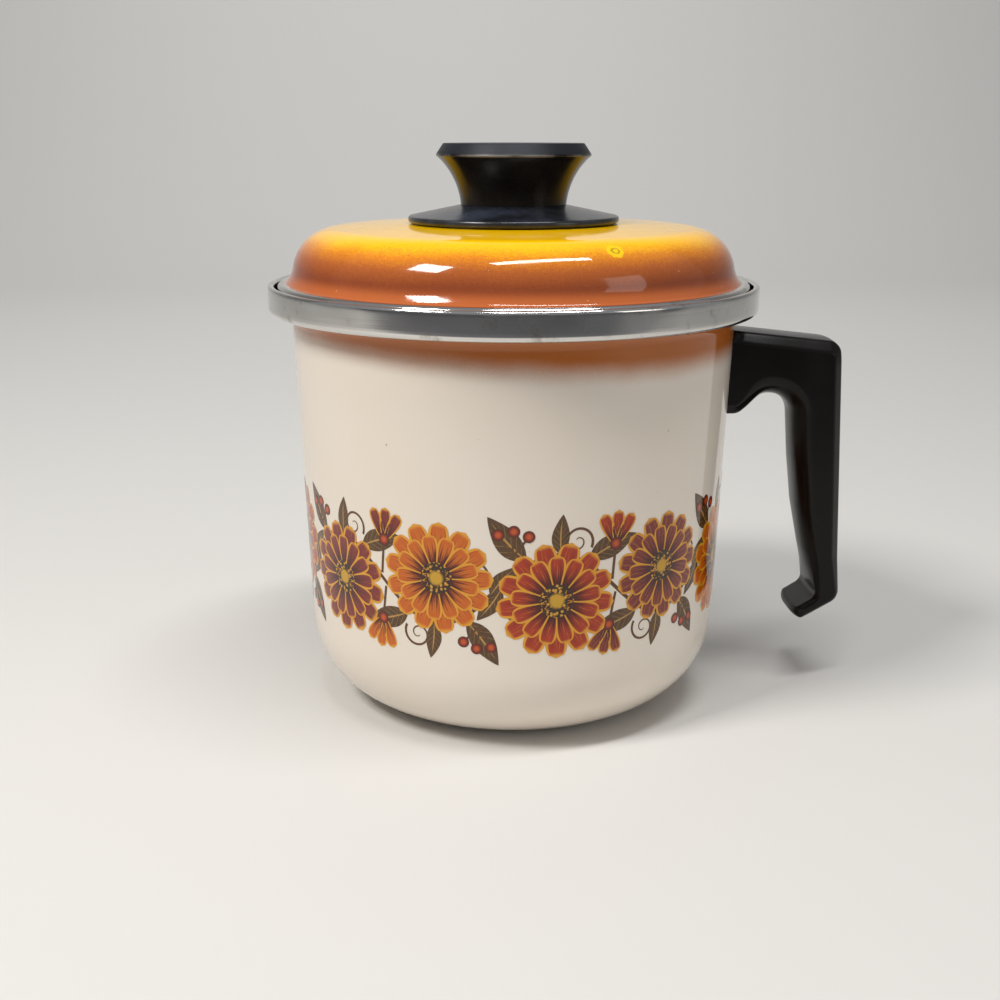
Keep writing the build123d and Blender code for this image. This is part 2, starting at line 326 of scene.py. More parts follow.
def make_lathe():
    tree, given, result = new_tree(
        "lathe", Int=["Segments", "Inside From"], Material=["Finish", "Inside Finish"],
    )
    section = given["Geometry"]
    segments = Term(given["Segments"])
    rows = Term(put(tree, "GeometryNodeAttributeDomainSize", {0: section}).outputs["Point Count"])
    grid = put(tree, "GeometryNodeMeshGrid", {"Vertices X": segments + 1, "Vertices Y": rows})
    index = index_in(tree)
    column = (index / rows).floor()
    row = index - column * rows
    look_up = {"Geometry": section, "Value": position_in(tree), "Index": row}
    sample = put(tree, "GeometryNodeSampleIndex", look_up, data_type="FLOAT_VECTOR")
    radius, _, height = apart(sample.outputs[0])
    angle = column * (2 * pi) / segments
    swung = moved(grid.outputs["Mesh"], together(radius * angle.cos(), radius * angle.sin(), height))
    row_of_point = put(tree, "GeometryNodeFieldOnDomain", {0: row}, data_type="FLOAT", domain="POINT")
    marked = stored(swung, "FACE", inside=Term(row_of_point.outputs[0]).over(given["Inside From"]))
    closed = put(tree, "GeometryNodeMergeByDistance", {0: marked, "Distance": weld})
    smooth = put(tree, "GeometryNodeSetShadeSmooth", {0: closed.outputs[0], "Shade Smooth": True})
    bend = Term(put(tree, "GeometryNodeInputMeshEdgeAngle").outputs["Unsigned Angle"])
    creases = {0: smooth.outputs[0], "Selection": bend.over(crease), "Shade Smooth": False}
    sharp = put(tree, "GeometryNodeSetShadeSmooth", creases, domain="EDGE")
    real = put(tree, "GeometryNodeRealizeInstances", {0: sharp.outputs[0]})
    outer = put(tree, "GeometryNodeSetMaterial", {0: real.outputs[0], "Material": given["Finish"]})
    mark = put(tree, "GeometryNodeInputNamedAttribute", {"Name": "inside"}, data_type="FLOAT")
    both = put(tree, "GeometryNodeSetMaterial", {0: outer.outputs[0], "Selection": mark.outputs[0]})
    feed(both.inputs["Material"], given["Inside Finish"])
    feed(result[0], both.outputs[0])
    return tree


lathe = make_lathe()
print("lathe tree:", len(lathe.nodes), "nodes")

# %% Turned pieces
round_segments = 288


def turned(name, outline, finish, inside_finish=None, inside_from=0, segments=round_segments):
    """A piece of revolution from an outline of (radius, height) points."""
    mesh = new_mesh(name, [(point.x, 0, point.y) for point in outline])
    piece = run_tree(name, mesh, lathe, {
        "Segments": segments,
        "Inside From": inside_from,
        "Finish": finish,
        "Inside Finish": inside_finish or finish,
    })
    outward(piece)
    print(f"{name}: {len(piece.data.polygons)} faces")
    return piece


def stand_for(piece, body, slot, *nodes):
    """Lets a piece ride on a body and stand for plain solids; the slot is not used."""
    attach(piece, body)
    if nodes:
        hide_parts(*nodes)


# %% [markdown]
# ## Finishes: shared parts
# A finish is a Principled shader with a little noise in its colour, its roughness and its surface. All of
# them read Object coordinates. The objects sit at the origin, so those are real metres on the pot, and a
# scale of 100 makes spots about a centimetre across.

# %% Finish helpers
def srgb(red, green, blue):
    """A colour written as a painter's 0 to 255, as the linear colour that a shader takes."""
    return (*Color((red / 255, green / 255, blue / 255)).from_srgb_to_scene_linear(), 1.0)


def new_finish(name, feeds=()):
    """A material, the inputs of its Principled shader and the place on the pot that its noises read."""
    finish = bpy.data.materials.new(name)
    finish.use_nodes = True
    inputs = finish.node_tree.nodes["Principled BSDF"].inputs
    for label, value in dict(feeds).items():
        feed(inputs[label], value)
    return finish, inputs, put(finish.node_tree, "ShaderNodeTexCoord").outputs["Object"]


def coat(inputs, colour, roughness, normal):
    feed(inputs["Base Color"], colour)
    feed(inputs["Roughness"], roughness)
    feed(inputs["Normal"], normal)


def bumped(height, depth, below=None):
    """A normal from a height that is a real depth, in metres."""
    node = put(height.tree, "ShaderNodeBump", {"Height": height, "Distance": depth, "Strength": 1.0})
    if below is not None:
        feed(node.inputs["Normal"], below)
    return node.outputs["Normal"]


# %% Pattern helpers
def noise(place, scale, detail=3.0, roughness=0.5):
    """Noise from 0 to 1 as a term."""
    feeds = {"Vector": place, "Scale": scale, "Detail": detail, "Roughness": roughness}
    return Term(put(place.id_data, "ShaderNodeTexNoise", feeds).outputs[0])


def ramp_between(term, low, high):
    """0 at low, 1 at high, with soft ends."""
    feeds = {0: term, 1: low, 2: high}
    return Term(put(term.tree, "ShaderNodeMapRange", feeds, interpolation_type="SMOOTHSTEP").outputs[0])


def spread(term, low, high):
    """A 0 to 1 term spread between two values."""
    return Term(put(term.tree, "ShaderNodeMapRange", {0: term, 3: low, 4: high}).outputs[0])


def spots(place, scale, size, share):
    """1 inside small round spots and 0 elsewhere; share is how many of the cells have a spot."""
    cell = put(place.id_data, "ShaderNodeTexVoronoi", {"Vector": place, "Scale": scale})
    chance = apart(cell.outputs["Color"])[0]
    inside = ramp_between(Term(cell.outputs["Distance"]), size, size * 0.6)
    return inside * chance.calc("LESS_THAN", share)


def mixed(share, first, second):
    """Two colours mixed by a share."""
    return put(share.tree, "ShaderNodeMix", {0: share, 6: first, 7: second}, data_type="RGBA").outputs[2]


# %% [markdown]
# ## Cream enamel
# Vitreous enamel is coloured glass fused on steel: very smooth, of a colour that is not quite even, with a
# few dark pinholes where the steel gassed, and a surface that rolls gently rather than being flat. Just
# under the rim a brown shade is painted into the colour: the band's shadow, warmed by light bounced up
# from below. Its edge is broken up, and it reaches lower on one side, where the lamp's shadow falls longer.

# %% Cream enamel
cream, warm_cream = srgb(232, 222, 210), srgb(222, 207, 184)
pinhole, small_pinhole = srgb(96, 66, 40), srgb(120, 92, 62)
# Painted shade under the rim band: its brown shadow, warmed by bounced light, deeper on one side
rim_shade_brown = srgb(174, 96, 32)
rim_shade_top = flange_under - 2.4 * mm
rim_shade_foot = flange_under - 11.2 * mm
rim_shade_tilt = (0.05, -0.04)
rim_shade_grain_reach, rim_shade_wander_reach = 1.6 * mm, 2.0 * mm


def enamel_surface(inputs, place):
    """Gloss and roll of fused enamel, the same on the pot, the lid and the print."""
    roll = noise(place, 70.0, detail=1.0)
    peel = noise(place, 420.0, detail=2.0)
    feed(inputs["Normal"], bumped(peel, 0.006 * mm, bumped(roll, 0.05 * mm)))
    scuff = noise(place, 160.0, detail=4.0, roughness=0.65)
    feed(inputs["Roughness"], spread(ramp_between(scuff, 0.35, 0.8), 0.05, 0.16))


def rim_shade_share(place):
    """How much of the painted shade under the band lies at a place."""
    x, y, height = apart(place)
    fine_break = noise(place, 3200.0, detail=1.0) - 0.5
    slow_wander = noise(place, 60.0, detail=1.0) - 0.5
    tilted = height + x * rim_shade_tilt[0] + y * rim_shade_tilt[1]
    return ramp_between(tilted + fine_break * rim_shade_grain_reach + slow_wander * rim_shade_wander_reach, rim_shade_foot, rim_shade_top)


def make_cream(name, with_rim_shade):
    """Cream with cloudy patches and a scatter of pinholes, with or without the painted shade under the band.
    """
    finish, inputs, place = new_finish(name)
    colour = mixed(spread(noise(place, 32.0), 0.0, 0.5), cream, warm_cream)
    colour = mixed(spots(place, 150.0, size=0.055, share=0.16) * 0.7, colour, pinhole)
    colour = mixed(spots(place, 420.0, size=0.07, share=0.06) * 0.5, colour, small_pinhole)
    if with_rim_shade:
        # Painted shadow of the band, tinted warm by bounced light
        colour = mixed(rim_shade_share(place), colour, rim_shade_brown)
    feed(inputs["Base Color"], colour)
    enamel_surface(inputs, place)
    return finish


cream_enamel = make_cream("cream_enamel", with_rim_shade=True)
plain_cream = make_cream("plain_cream_enamel", with_rim_shade=False)
print("finishes:", cream_enamel.name, plain_cream.name)

# %% [markdown]
# ## The pot
# A pot is drawn from one disc of steel: a flat base, a wide round corner, a wall that opens slightly so
# that the punch comes out, and a flange at the mouth. The section is that path with one sheet thickness,
# and the lathe turns it. The inside takes the plain cream.

# %% Pot
wide_step = 3.0 * mm
base_corner = 27.0 * mm
neck_corner = 4.0 * mm


def make_pot():
    corners = [
        (0, 0),
        (foot_radius, 0),
        (mouth_radius, flange_under),
        (radius_of("pot_shell"), flange_under),
    ]
    outline, inside_from = sheet_outline(corners, [base_corner, neck_corner], pot_sheet, wide_step)
    pot = turned("pot_enamel", outline, cream_enamel, plain_cream, inside_from)
    stand_for(pot, "pot", "cream_enamel", "pot_shell")


make_pot()

# %% [markdown]
# ## A printed garland
# Pots like this were decorated with transfers: inks printed flat on paper, slid onto the wall and fired.
# The garland here is made the same way. Motifs are drawn flat, in millimetres, set out along a waving vine,
# and only then wrapped round the wall, about a tenth of a millimetre above it. Each motif is a small grid
# pushed into shape by a formula. It keeps two numbers on every point, its place along and across the
# motif, and a tone for the whole motif, and the inks are mixed from those.

# %% Ink colours
rust, ochre, rose = srgb(164, 48, 14), srgb(194, 92, 16), srgb(122, 44, 38)
deep_rust, deep_rose = srgb(62, 14, 8), srgb(70, 22, 22)
gold, pollen, honey = srgb(216, 150, 38), srgb(206, 150, 52), srgb(196, 150, 40)
seed_brown, vein_tan = srgb(52, 34, 18), srgb(178, 134, 72)
leaf_dark, leaf_light = srgb(56, 36, 20), srgb(104, 74, 40)
stem_dark, stem_light = srgb(70, 42, 20), srgb(108, 70, 32)
berry_light, berry_dark, berry_edge = srgb(190, 80, 30), srgb(112, 30, 16), srgb(70, 36, 16)


def kept(place, label):
    """A number kept on the print, as a term."""
    return Term(put(place.id_data, "ShaderNodeAttribute", attribute_name=label).outputs["Fac"])


def petal_colour(place):
    along, across, tone = (kept(place, label) for label in ("along", "across", "tone"))
    streaks = noise(together(across * 5.0, along * 0.8, tone * 40.0), 2.2, roughness=0.6)
    body = mixed(tone.over(0.4), mixed(tone.over(0.2), rust, ochre), rose)
    deep = mixed(tone.over(0.4), deep_rust, deep_rose)
    petal = mixed(ramp_between(along + (streaks - 0.5) * 1.5, 0.2, 0.75), deep, body)
    flecks = ramp_between(streaks, 0.58, 0.7) * ramp_between(along, 0.3, 0.6) * 0.6
    edge = abs(across).calc("MAXIMUM", along * 1.04 - 0.2)
    return mixed(ramp_between(edge, 0.70, 0.80), mixed(flecks, petal, gold), gold)


def centre_colour(place):
    out = kept(place, "along")
    cell = put(place.id_data, "ShaderNodeTexVoronoi", {"Vector": place, "Scale": 900.0})
    dotted = ramp_between(Term(cell.outputs["Distance"]), 0.5, 0.25) * ramp_between(out, 0.25, 0.5)
    return mixed(dotted, mixed(ramp_between(out, 0.3, 0.55), honey, seed_brown), pollen)


def leaf_colour(place):
    along, across, tone = (kept(place, label) for label in ("along", "across", "tone"))
    brush = noise(together(across * 2.0, along * 3.0, tone * 30.0), 2.0)
    side = abs(across)
    ribs = abs((along * 7.0 - side * 1.6) % 1.0 - 0.5)
    vein = ramp_between(side, 0.11, 0.05).calc("MAXIMUM", ramp_between(ribs, 0.07, 0.03) * 0.5)
    return mixed(vein * ramp_between(along, 0.95, 0.6), mixed(brush, leaf_dark, leaf_light), vein_tan)


def stem_colour(place):
    return mixed(noise(place, 300.0), stem_dark, stem_light)


def berry_colour(place):
    out = kept(place, "along")
    body = mixed(ramp_between(out, 0.2, 0.8), berry_light, berry_dark)
    return mixed(ramp_between(out, 0.84, 0.92), body, berry_edge)


# %% Ink finishes
ink_colours = {
    "petal": petal_colour,
    "centre": centre_colour,
    "leaf": leaf_colour,
    "stem": stem_colour,
    "berry": berry_colour,
}


def make_ink(name, colour_at):
    finish, inputs, place = new_finish(f"{name}_ink")
    feed(inputs["Base Color"], colour_at(place))
    enamel_surface(inputs, place)
    return finish


inks = {name: make_ink(name, colour_at) for name, colour_at in ink_colours.items()}
print("inks:", ", ".join(inks))

# %% [markdown]
# ## Motifs
# A petal, a leaf, a curl and a stalk are the same grid with different formulas for its width and its
# middle line. Rings of petals turn the petal into a daisy, and three petals on a stalk into a bud.

# %% Motif helpers
dot_sides = 28
petal_rows = 15
hair = 0.0006


def inked(mesh, ink):
    """Marks a motif with the number of its ink."""
    return stored(mesh, "FACE", ink=float(list(inks).index(ink)))


def shaped_grid(tree, ink, shape, along_count, across_count=3):
    """A flat grid in a shape that is given as x and y for each along (0 to 1) and across (-1 to 1)."""
    grid = put(tree, "GeometryNodeMeshGrid", {
        "Size X": 2.0, "Size Y": 1.0, "Vertices X": across_count, "Vertices Y": along_count,
    })
    across, along, _ = apart(position_in(tree))
    along = along + 0.5
    mesh = stored(grid.outputs[0], along=along, across=across)
    return inked(moved(mesh, together(*shape(along, across), 0.0)), ink)


def shifted(mesh, *offset):
    return put(mesh.id_data, "GeometryNodeTransform", {0: mesh, "Translation": offset}).outputs[0]


def dot(tree, ink, radius, lift):
    """A round dot that keeps its distance from the middle as along."""
    sizes = {"Vertices": dot_sides, "Radius": radius}
    disc = put(tree, "GeometryNodeMeshCircle", sizes, fill_type="TRIANGLE_FAN").outputs[0]
    x, y, _ = apart(position_in(tree))
    return inked(shifted(stored(disc, along=(x * x + y * y).root() / radius), 0, 0, lift), ink)


def stack(tree, count, lift, step):
    """Points above each other, so that motifs on them overlap cleanly."""
    sizes = {"Count": count, "Start Location": (0, 0, lift), "Offset": (0, 0, step)}
    return put(tree, "GeometryNodeMeshLine", sizes).outputs[0]


def instances(points, motif, angle, size=None):
    """A motif on every point, turned by an angle in the flat print."""
    turn = put(angle.tree, "FunctionNodeEulerToRotation", {0: together(0.0, 0.0, angle)})
    feeds = {"Points": points, "Instance": motif, "Rotation": turn.outputs[0]}
    node = put(angle.tree, "GeometryNodeInstanceOnPoints", feeds)
    if size is not None:
        feed(node.inputs["Scale"], together(size, size, 1.0))
    return node.outputs[0]


def joined(*meshes):
    node = put(meshes[0].id_data, "GeometryNodeJoinGeometry")
    for mesh in reversed(meshes):
        feed(node.inputs[0], mesh)
    return node.outputs[0]


# %% Motifs
def stalk(tree, half_width, length, count):
    return shaped_grid(tree, "stem", lambda along, across: (across * half_width, along * length), count)


def petal_fan(tree, count, step, length, half_width, lift, start=0.0, first_angle=0.0):
    """Petals fanned round a point, each a hair above the last."""
    def shape(along, across):
        width = half_width * along ** 0.55 * (1.0 - along ** 5.0).root()
        return across * width, along * length + start

    petal = shaped_grid(tree, "petal", shape, petal_rows, across_count=5)
    return instances(stack(tree, count, lift, hair), petal, index_in(tree) * step + first_angle)


def daisy(tree, count=13):
    step = 2 * pi / count
    back = petal_fan(tree, count, step, length=14.5, half_width=4.3, lift=0.02, start=3.0)
    front = petal_fan(
        tree, count, step, length=10.6, half_width=3.4, lift=0.04, start=3.0, first_angle=step / 2,
    )
    return joined(back, front, dot(tree, "centre", radius=5.0, lift=0.06))


def bud(tree, fan=radians(28), flower_foot=10.0, cup_middle=10.6):
    stem = stalk(tree, half_width=0.42, length=11.0, count=8)
    flower = petal_fan(tree, 3, -fan, length=10.5, half_width=2.7, lift=0.02, first_angle=fan)
    cup = dot(tree, "berry", radius=1.9, lift=0.03)
    return joined(stem, shifted(flower, 0, flower_foot, 0), shifted(cup, 0, cup_middle, 0))


def berries(tree, fan=radians(34), fruit_middle=7.6):
    stem = stalk(tree, half_width=0.32, length=7.0, count=6)
    fruit = shifted(dot(tree, "berry", radius=1.75, lift=0.01), 0, fruit_middle, 0)
    points = stack(tree, 3, lift=0.02, step=0.002)
    return instances(points, joined(stem, fruit), (index_in(tree) - 1.0) * fan)


def leaf(tree, length=16.5, half_width=4.6, bend=2.4):
    def shape(along, across):
        width = (along * pi).sin() ** 0.8 * (1.0 - along * 0.45) * half_width
        return across * width + along * along * bend, along * length

    return shaped_grid(tree, "leaf", shape, along_count=17, across_count=7)


def curl(tree, radius=4.6, turns=1.45, half_width=0.42):
    def shape(along, across):
        reach = (1.0 - along * 0.86) * radius + across * (1.0 - along * 0.7) * half_width
        angle = along * (2 * pi * turns) - pi / 2
        return reach * angle.cos(), reach * angle.sin() + radius

    return shaped_grid(tree, "stem", shape, along_count=44)


# %% [markdown]
# ## Setting out and wrapping
# The vine is a sine wave. Turning it by half a turn about any place where it crosses its middle line gives
# the same wave, so one half repeat is enough: every second one is simply turned over. The last step wraps
# the flat print. The distance along becomes an angle, the height stays, and the radius is the wall's.

# %% Setting out
vine_half_width = 0.55
vine_rows = 600
swerve_reach = 0.1


class Layout:
    """The flat print's measures, as terms of one tree that everything on the print shares."""

    def __init__(self, tree, given):
        self.tree = tree
        self.seed = given["Seed"]
        labels = ("Repeats", "Middle", "Swing", "Slope", "Foot Radius", "Turn")
        repeats, *measures = (Term(given[label]) for label in labels)
        self.middle, self.swing, self.slope, self.foot_radius, self.turn = measures
        self.ring_radius = self.middle * self.slope + self.foot_radius
        self.halves = repeats * 2.0
        self.half = self.ring_radius * (2 * pi) / self.halves

    def vine(self):
        """A ribbon along the sine wave, as wide on its slopes as on its crests."""
        def shape(along, across):
            wave = along * self.halves * pi
            steep = self.swing * wave.cos() * pi / self.half
            side = across * vine_half_width / (steep * steep + 1.0).root()
            length = along * self.halves * self.half
            return length - side * steep, self.middle + self.swing * wave.sin() + side

        return shaped_grid(self.tree, "stem", shape, vine_rows)

    def set_out(self, motif, ahead, above, degrees, size, lift):
        """Sets a motif in every half repeat, at a place from the crest; every second one is turned over."""
        line = put(self.tree, "GeometryNodeMeshLine", {"Count": self.halves}).outputs[0]
        index = index_in(self.tree)
        odd = index % 2.0
        side = 1.0 - odd * 2.0
        place = together((index + 0.5) * self.half + side * ahead, self.middle + side * above, lift)
        draw = {2: -swerve_reach, 3: swerve_reach, 7: index, 8: self.seed}
        swerve = Term(put(self.tree, "FunctionNodeRandomValue", draw, data_type="FLOAT").outputs[1])
        turn = swerve + radians(degrees) + odd * pi
        placed = instances(moved(line, place), motif, turn, swerve * 0.5 + size)
        return stored(placed, "INSTANCE", tone=(index * 2.0 % 3.0) * 0.25 + swerve * 0.1)

    def wrap(self, flat):
        """Wraps the flat print round the wall, in metres."""
        x, y, z = apart(position_in(self.tree))
        angle = x / self.ring_radius + self.turn
        radius = (y * self.slope + self.foot_radius + z) * mm
        return moved(flat, together(radius * angle.cos(), radius * angle.sin(), y * mm))


# %% Garland
def make_garland_tree():
    tree, given, result = new_tree(
        "garland", Int=["Repeats", "Seed"], Float=["Middle", "Swing", "Foot Radius", "Slope", "Turn"],
    )
    layout = Layout(tree, given)
    one_leaf, one_curl = leaf(tree), curl(tree)
    # Motif, place ahead of the crest and above the middle line, angle in degrees, size and lift
    placings = [
        (daisy(tree), 0.0, -3.0, 12, 1.0, 0.05),
        (one_leaf, -9.0, 9.5, 46, 1.0, 0.03),
        (one_leaf, 9.5, 9.0, -62, 0.95, 0.03),
        (one_leaf, 1.0, 11.0, 4, 0.7, 0.032),
        (one_leaf, -16.0, 1.0, 150, 0.72, 0.034),
        (bud(tree), 17.0, 2.0, -6, 1.0, 0.04),
        (one_curl, 10.0, 12.5, 60, 1.0, 0.03),
        (one_curl, -20.0, 6.0, 100, 0.8, 0.03),
        (berries(tree), -13.0, 10.5, -6, 1.0, 0.045),
    ]
    flat = joined(layout.vine(), *(layout.set_out(*placing) for placing in placings))
    real = put(tree, "GeometryNodeRealizeInstances", {0: flat}).outputs[0]
    smooth = put(tree, "GeometryNodeSetShadeSmooth", {0: layout.wrap(real), "Shade Smooth": True})
    mark = put(tree, "GeometryNodeInputNamedAttribute", {"Name": "ink"}, data_type="FLOAT").outputs[0]
    print_mesh = smooth.outputs[0]
    for number, finish in enumerate(inks.values()):
        chosen = Term(mark).calc("COMPARE", float(number), 0.5)
        feeds = {0: print_mesh, "Selection": chosen, "Material": finish}
        print_mesh = put(tree, "GeometryNodeSetMaterial", feeds).outputs[0]
    feed(result[0], print_mesh)
    return tree


print_lift = 0.01
garland = run_tree("garland_print", bpy.data.meshes.new("garland_print"), make_garland_tree(), {
    "Repeats": 6,
    "Middle": 53.0,
    "Swing": 11.0,
    "Foot Radius": foot_radius / mm + print_lift,
    "Slope": wall_slope,
    "Turn": radians(-98),
    "Seed": 4,
})
stand_for(garland, "pot", "cream_enamel")
print(f"garland_print: {len(garland.data.polygons)} faces, {len(garland.data.materials)} inks")

# %% [markdown]
# ## Bright rim bands
# Two strips of stainless steel are rolled round the edges: the pot's stands up as a lip, and the lid's
# drops inside it. Rolled strip keeps fine lines along its length and picks up soft dents in use. A noise
# squeezed hard in height makes the lines, and a slow noise makes the dents.

# %% Rim steel finish
bright_steel, grey_steel, steel_stain = srgb(224, 222, 218), srgb(200, 198, 194), srgb(128, 116, 104)


def make_rim_steel():
    finish, inputs, place = new_finish("rim_steel", {"Metallic": 1.0})
    x, y, z = apart(place)
    out = (x * x + y * y).root()
    lines = noise(together(y.calc("ARCTAN2", x) * 0.5, out * 900.0, z * 900.0), 3.0, detail=4.0)
    dents = noise(place, 55.0, detail=1.0)
    stain = noise(place, 120.0, detail=4.0, roughness=0.6)
    colour = mixed(lines, bright_steel, grey_steel)
    colour = mixed(ramp_between(stain, 0.56, 0.72) * 0.55, colour, steel_stain)
    roughness = spread(lines, 0.05, 0.15) + ramp_between(stain, 0.5, 0.75) * 0.12
    coat(inputs, colour, roughness, bumped(lines, 0.004 * mm, bumped(dents, 0.25 * mm)))
    return finish


rim_steel = make_rim_steel()
print("finish:", rim_steel.name)

# %% Pot band
strip = 0.5 * mm
band_step = 1.0 * mm
lip_width = 2.0 * mm
lip_corner = 0.9 * mm
hem_corner = 1.8 * mm
ledge_crease = 0.5 * mm
ledge_width = 2.8 * mm
hem_gap = 0.25 * mm
wall_lean = atan2(wall_slope, 1)


def make_pot_band():
    outer, foot, top = radius_of("pot_rim_band"), foot_of("pot_rim_band"), top_of("pot_rim_band")
    lip_inside = outer - lip_width
    ledge = flange_top + strip
    hem_end = mouth_radius + neck_corner * tan((pi / 2 - wall_lean) / 2) + hem_gap
    corners = [
        (lip_inside - ledge_width, ledge),
        (lip_inside, ledge),
        (lip_inside, top),
        (outer, top),
        (outer, foot),
        (hem_end, foot),
    ]
    bends = [ledge_crease, lip_corner, lip_corner, hem_corner]
    outline, _ = sheet_outline(corners, bends, -strip, band_step)
    stand_for(turned("pot_band", outline, rim_steel), "pot", "rim_steel", "pot_rim_band")


make_pot_band()

# %% [markdown]
# ## Sprayed lid enamel
# The lid was sprayed by hand over yellow: brown on the wall, thinning to single droplets as it climbs the
# shoulder. The share of brown follows the height on the lid. Adding a very fine noise before it is cut off
# turns the edge into droplets, and a broad noise keeps the line from being drawn with a ruler.

# %% Lid enamel finish
lid_flange_top = top_of("lid_rim_band") - strip
lid_top = top_of("lid_shell")
brown_full = lid_flange_top + 5.0 * mm
brown_none = lid_top - 0.4 * mm
# Painted light: the flare gets a lighter brown where it faces up toward the lamps
flare_light_from, flare_light_full = lid_flange_top + 4.6 * mm, lid_flange_top + 1.5 * mm
flare_lit_brown, lid_glint_speck = srgb(186, 98, 48), srgb(238, 206, 160)
spray_steps = [
    (0.0, srgb(255, 198, 2)),
    (0.18, srgb(252, 186, 4)),
    (0.4, srgb(214, 128, 26)),
    (0.64, srgb(172, 90, 36)),
    (1.0, srgb(140, 66, 30)),
]
blister_place = Vector((23.9, -59.1, 148.7)) * mm
blister_edge, blister_rag = (3.0 * mm, 2.3 * mm), 1.4 * mm
pit_radius, pit_edge = 1.1 * mm, (0.4 * mm, 0.15 * mm)
blister_yellow, pit_brown = srgb(246, 202, 10), srgb(128, 96, 10)


def colour_steps(share, steps):
    """A colour that runs through several steps, as a colour ramp."""
    node = put(share.tree, "ShaderNodeValToRGB", {0: share})
    elements = node.color_ramp.elements
    while len(elements) < len(steps):
        elements.new(0.5)
    for element, (position, colour) in zip(elements, steps):
        element.position = position
        element.color = colour
    return node.outputs[0]


def blistered(place, colour):
    """One small blister on the shoulder, where the brown has flaked off the yellow round a dark pit."""
    gap = put(place.id_data, "ShaderNodeVectorMath", {0: place, 1: blister_place}, operation="DISTANCE")
    ragged = Term(gap.outputs["Value"]) + (noise(place, 700.0) - 0.5) * blister_rag
    colour = mixed(ramp_between(ragged, *blister_edge) * 0.85, colour, blister_yellow)
    pit_ring = ramp_between(abs(ragged - pit_radius), *pit_edge)
    return mixed(pit_ring * 0.6, colour, pit_brown)


def make_lid_enamel():
    finish, inputs, place = new_finish("lid_enamel")
    height = apart(place)[2]
    climb = put(place.id_data, "ShaderNodeMapRange", {0: height, 1: brown_none, 2: brown_full}).outputs[0]
    fine_break = noise(place, 3000.0, detail=1.0) - 0.5
    drops = noise(place, 900.0, detail=2.0) - 0.5
    slow_wander = noise(place, 45.0, detail=2.0) - 0.5
    colour = colour_steps(Term(climb) + fine_break * 0.34 + drops * 0.16 + slow_wander * 0.22, spray_steps)
    # Painted light: a lighter brown on the up-facing flare
    colour = mixed(ramp_between(height, flare_light_from, flare_light_full) * 0.8, colour, flare_lit_brown)
    # Painted highlights: pale specks stand for glints on tiny bumps in the spray
    colour = mixed(spots(place, 330.0, size=0.06, share=0.45) * 0.85, colour, lid_glint_speck)
    feed(inputs["Base Color"], blistered(place, colour))
    enamel_surface(inputs, place)
    return finish


lid_enamel = make_lid_enamel()
print("finish:", lid_enamel.name)

# %% [markdown]
# ## The lid
# The lid is another drawn sheet: a flat seat for the knob, a crown that falls a little, a full shoulder and
# a short wall that flares out into a flange, whose edge turns down. Its own band wraps that edge. Both are
# turned like the pot.

# %% Lid and its band
lid_sheet = 0.8 * mm
lid_step = 2.0 * mm
fixing_bore = 2.75 * mm
crown_seat = 34.0 * mm
crown_drop = 1.7 * mm
crown_blend = 60.0 * mm
shoulder_radius = 67.4 * mm
shoulder_corner = 14.0 * mm
flare_top = (69.46 * mm, lid_flange_top + 3.4 * mm)
flare_foot = (71.5 * mm, lid_flange_top + 0.3 * mm)
flare_bends = [8.0 * mm, 2.2 * mm]
lid_rim_corner = 1.6 * mm
lid_hem_corner = 1.0 * mm
lid_hem = 2.6 * mm
lid_band_lap = 2.7 * mm


def make_lid():
    edge = radius_of("lid_shell")
    corners = [
        (fixing_bore, lid_top),
        (crown_seat, lid_top),
        (shoulder_radius, lid_top - crown_drop),
        flare_top,
        flare_foot,
        (edge, lid_flange_top),
        (edge, foot_of("lid_shell")),
    ]
    bends = [crown_blend, shoulder_corner, *flare_bends, lid_rim_corner - strip]
    outline, inside_from = sheet_outline(corners, bends, -lid_sheet, lid_step)
    lid = turned("lid_enamel", outline, lid_enamel, plain_cream, inside_from)
    stand_for(lid, "lid", "amber_enamel", "lid_shell")


def make_lid_band():
    outer, foot, top = radius_of("lid_rim_band"), foot_of("lid_rim_band"), top_of("lid_rim_band")
    corners = [(outer - lid_band_lap, top), (outer, top), (outer, foot), (outer - lid_hem, foot)]
    outline, _ = sheet_outline(corners, [lid_rim_corner, lid_hem_corner], -strip, band_step)
    stand_for(turned("lid_band", outline, rim_steel), "lid", "rim_steel", "lid_rim_band")


make_lid()
make_lid_band()

# %% [markdown]
# ## Black moulding
# The knob and handle are phenolic, a hard black plastic pressed in polished moulds. New it is glossy; with
# age the gloss breaks into fine rubs and a grey bloom of dust that stays in the quiet places. A bluish grey
# is mixed in with that bloom as painted sky reflection, strongest on the disc and on the knob's worn cap.
# The colour stays nearly black, so the finish lives in its roughness.

# %% Black moulding finish
# The bluish grey is partly dust bloom and partly painted reflection of the sky
moulding_black, bloom_and_sky_grey, dust_grey = srgb(12, 8, 6), srgb(52, 58, 70), srgb(150, 148, 146)
cap_top = top_of("knob")
cap_edge = cap_top - 3.6 * mm
above_everything = 1.0
worn_fade, chip_edge = 1.0 * mm, (0.6 * mm, 0.1 * mm)


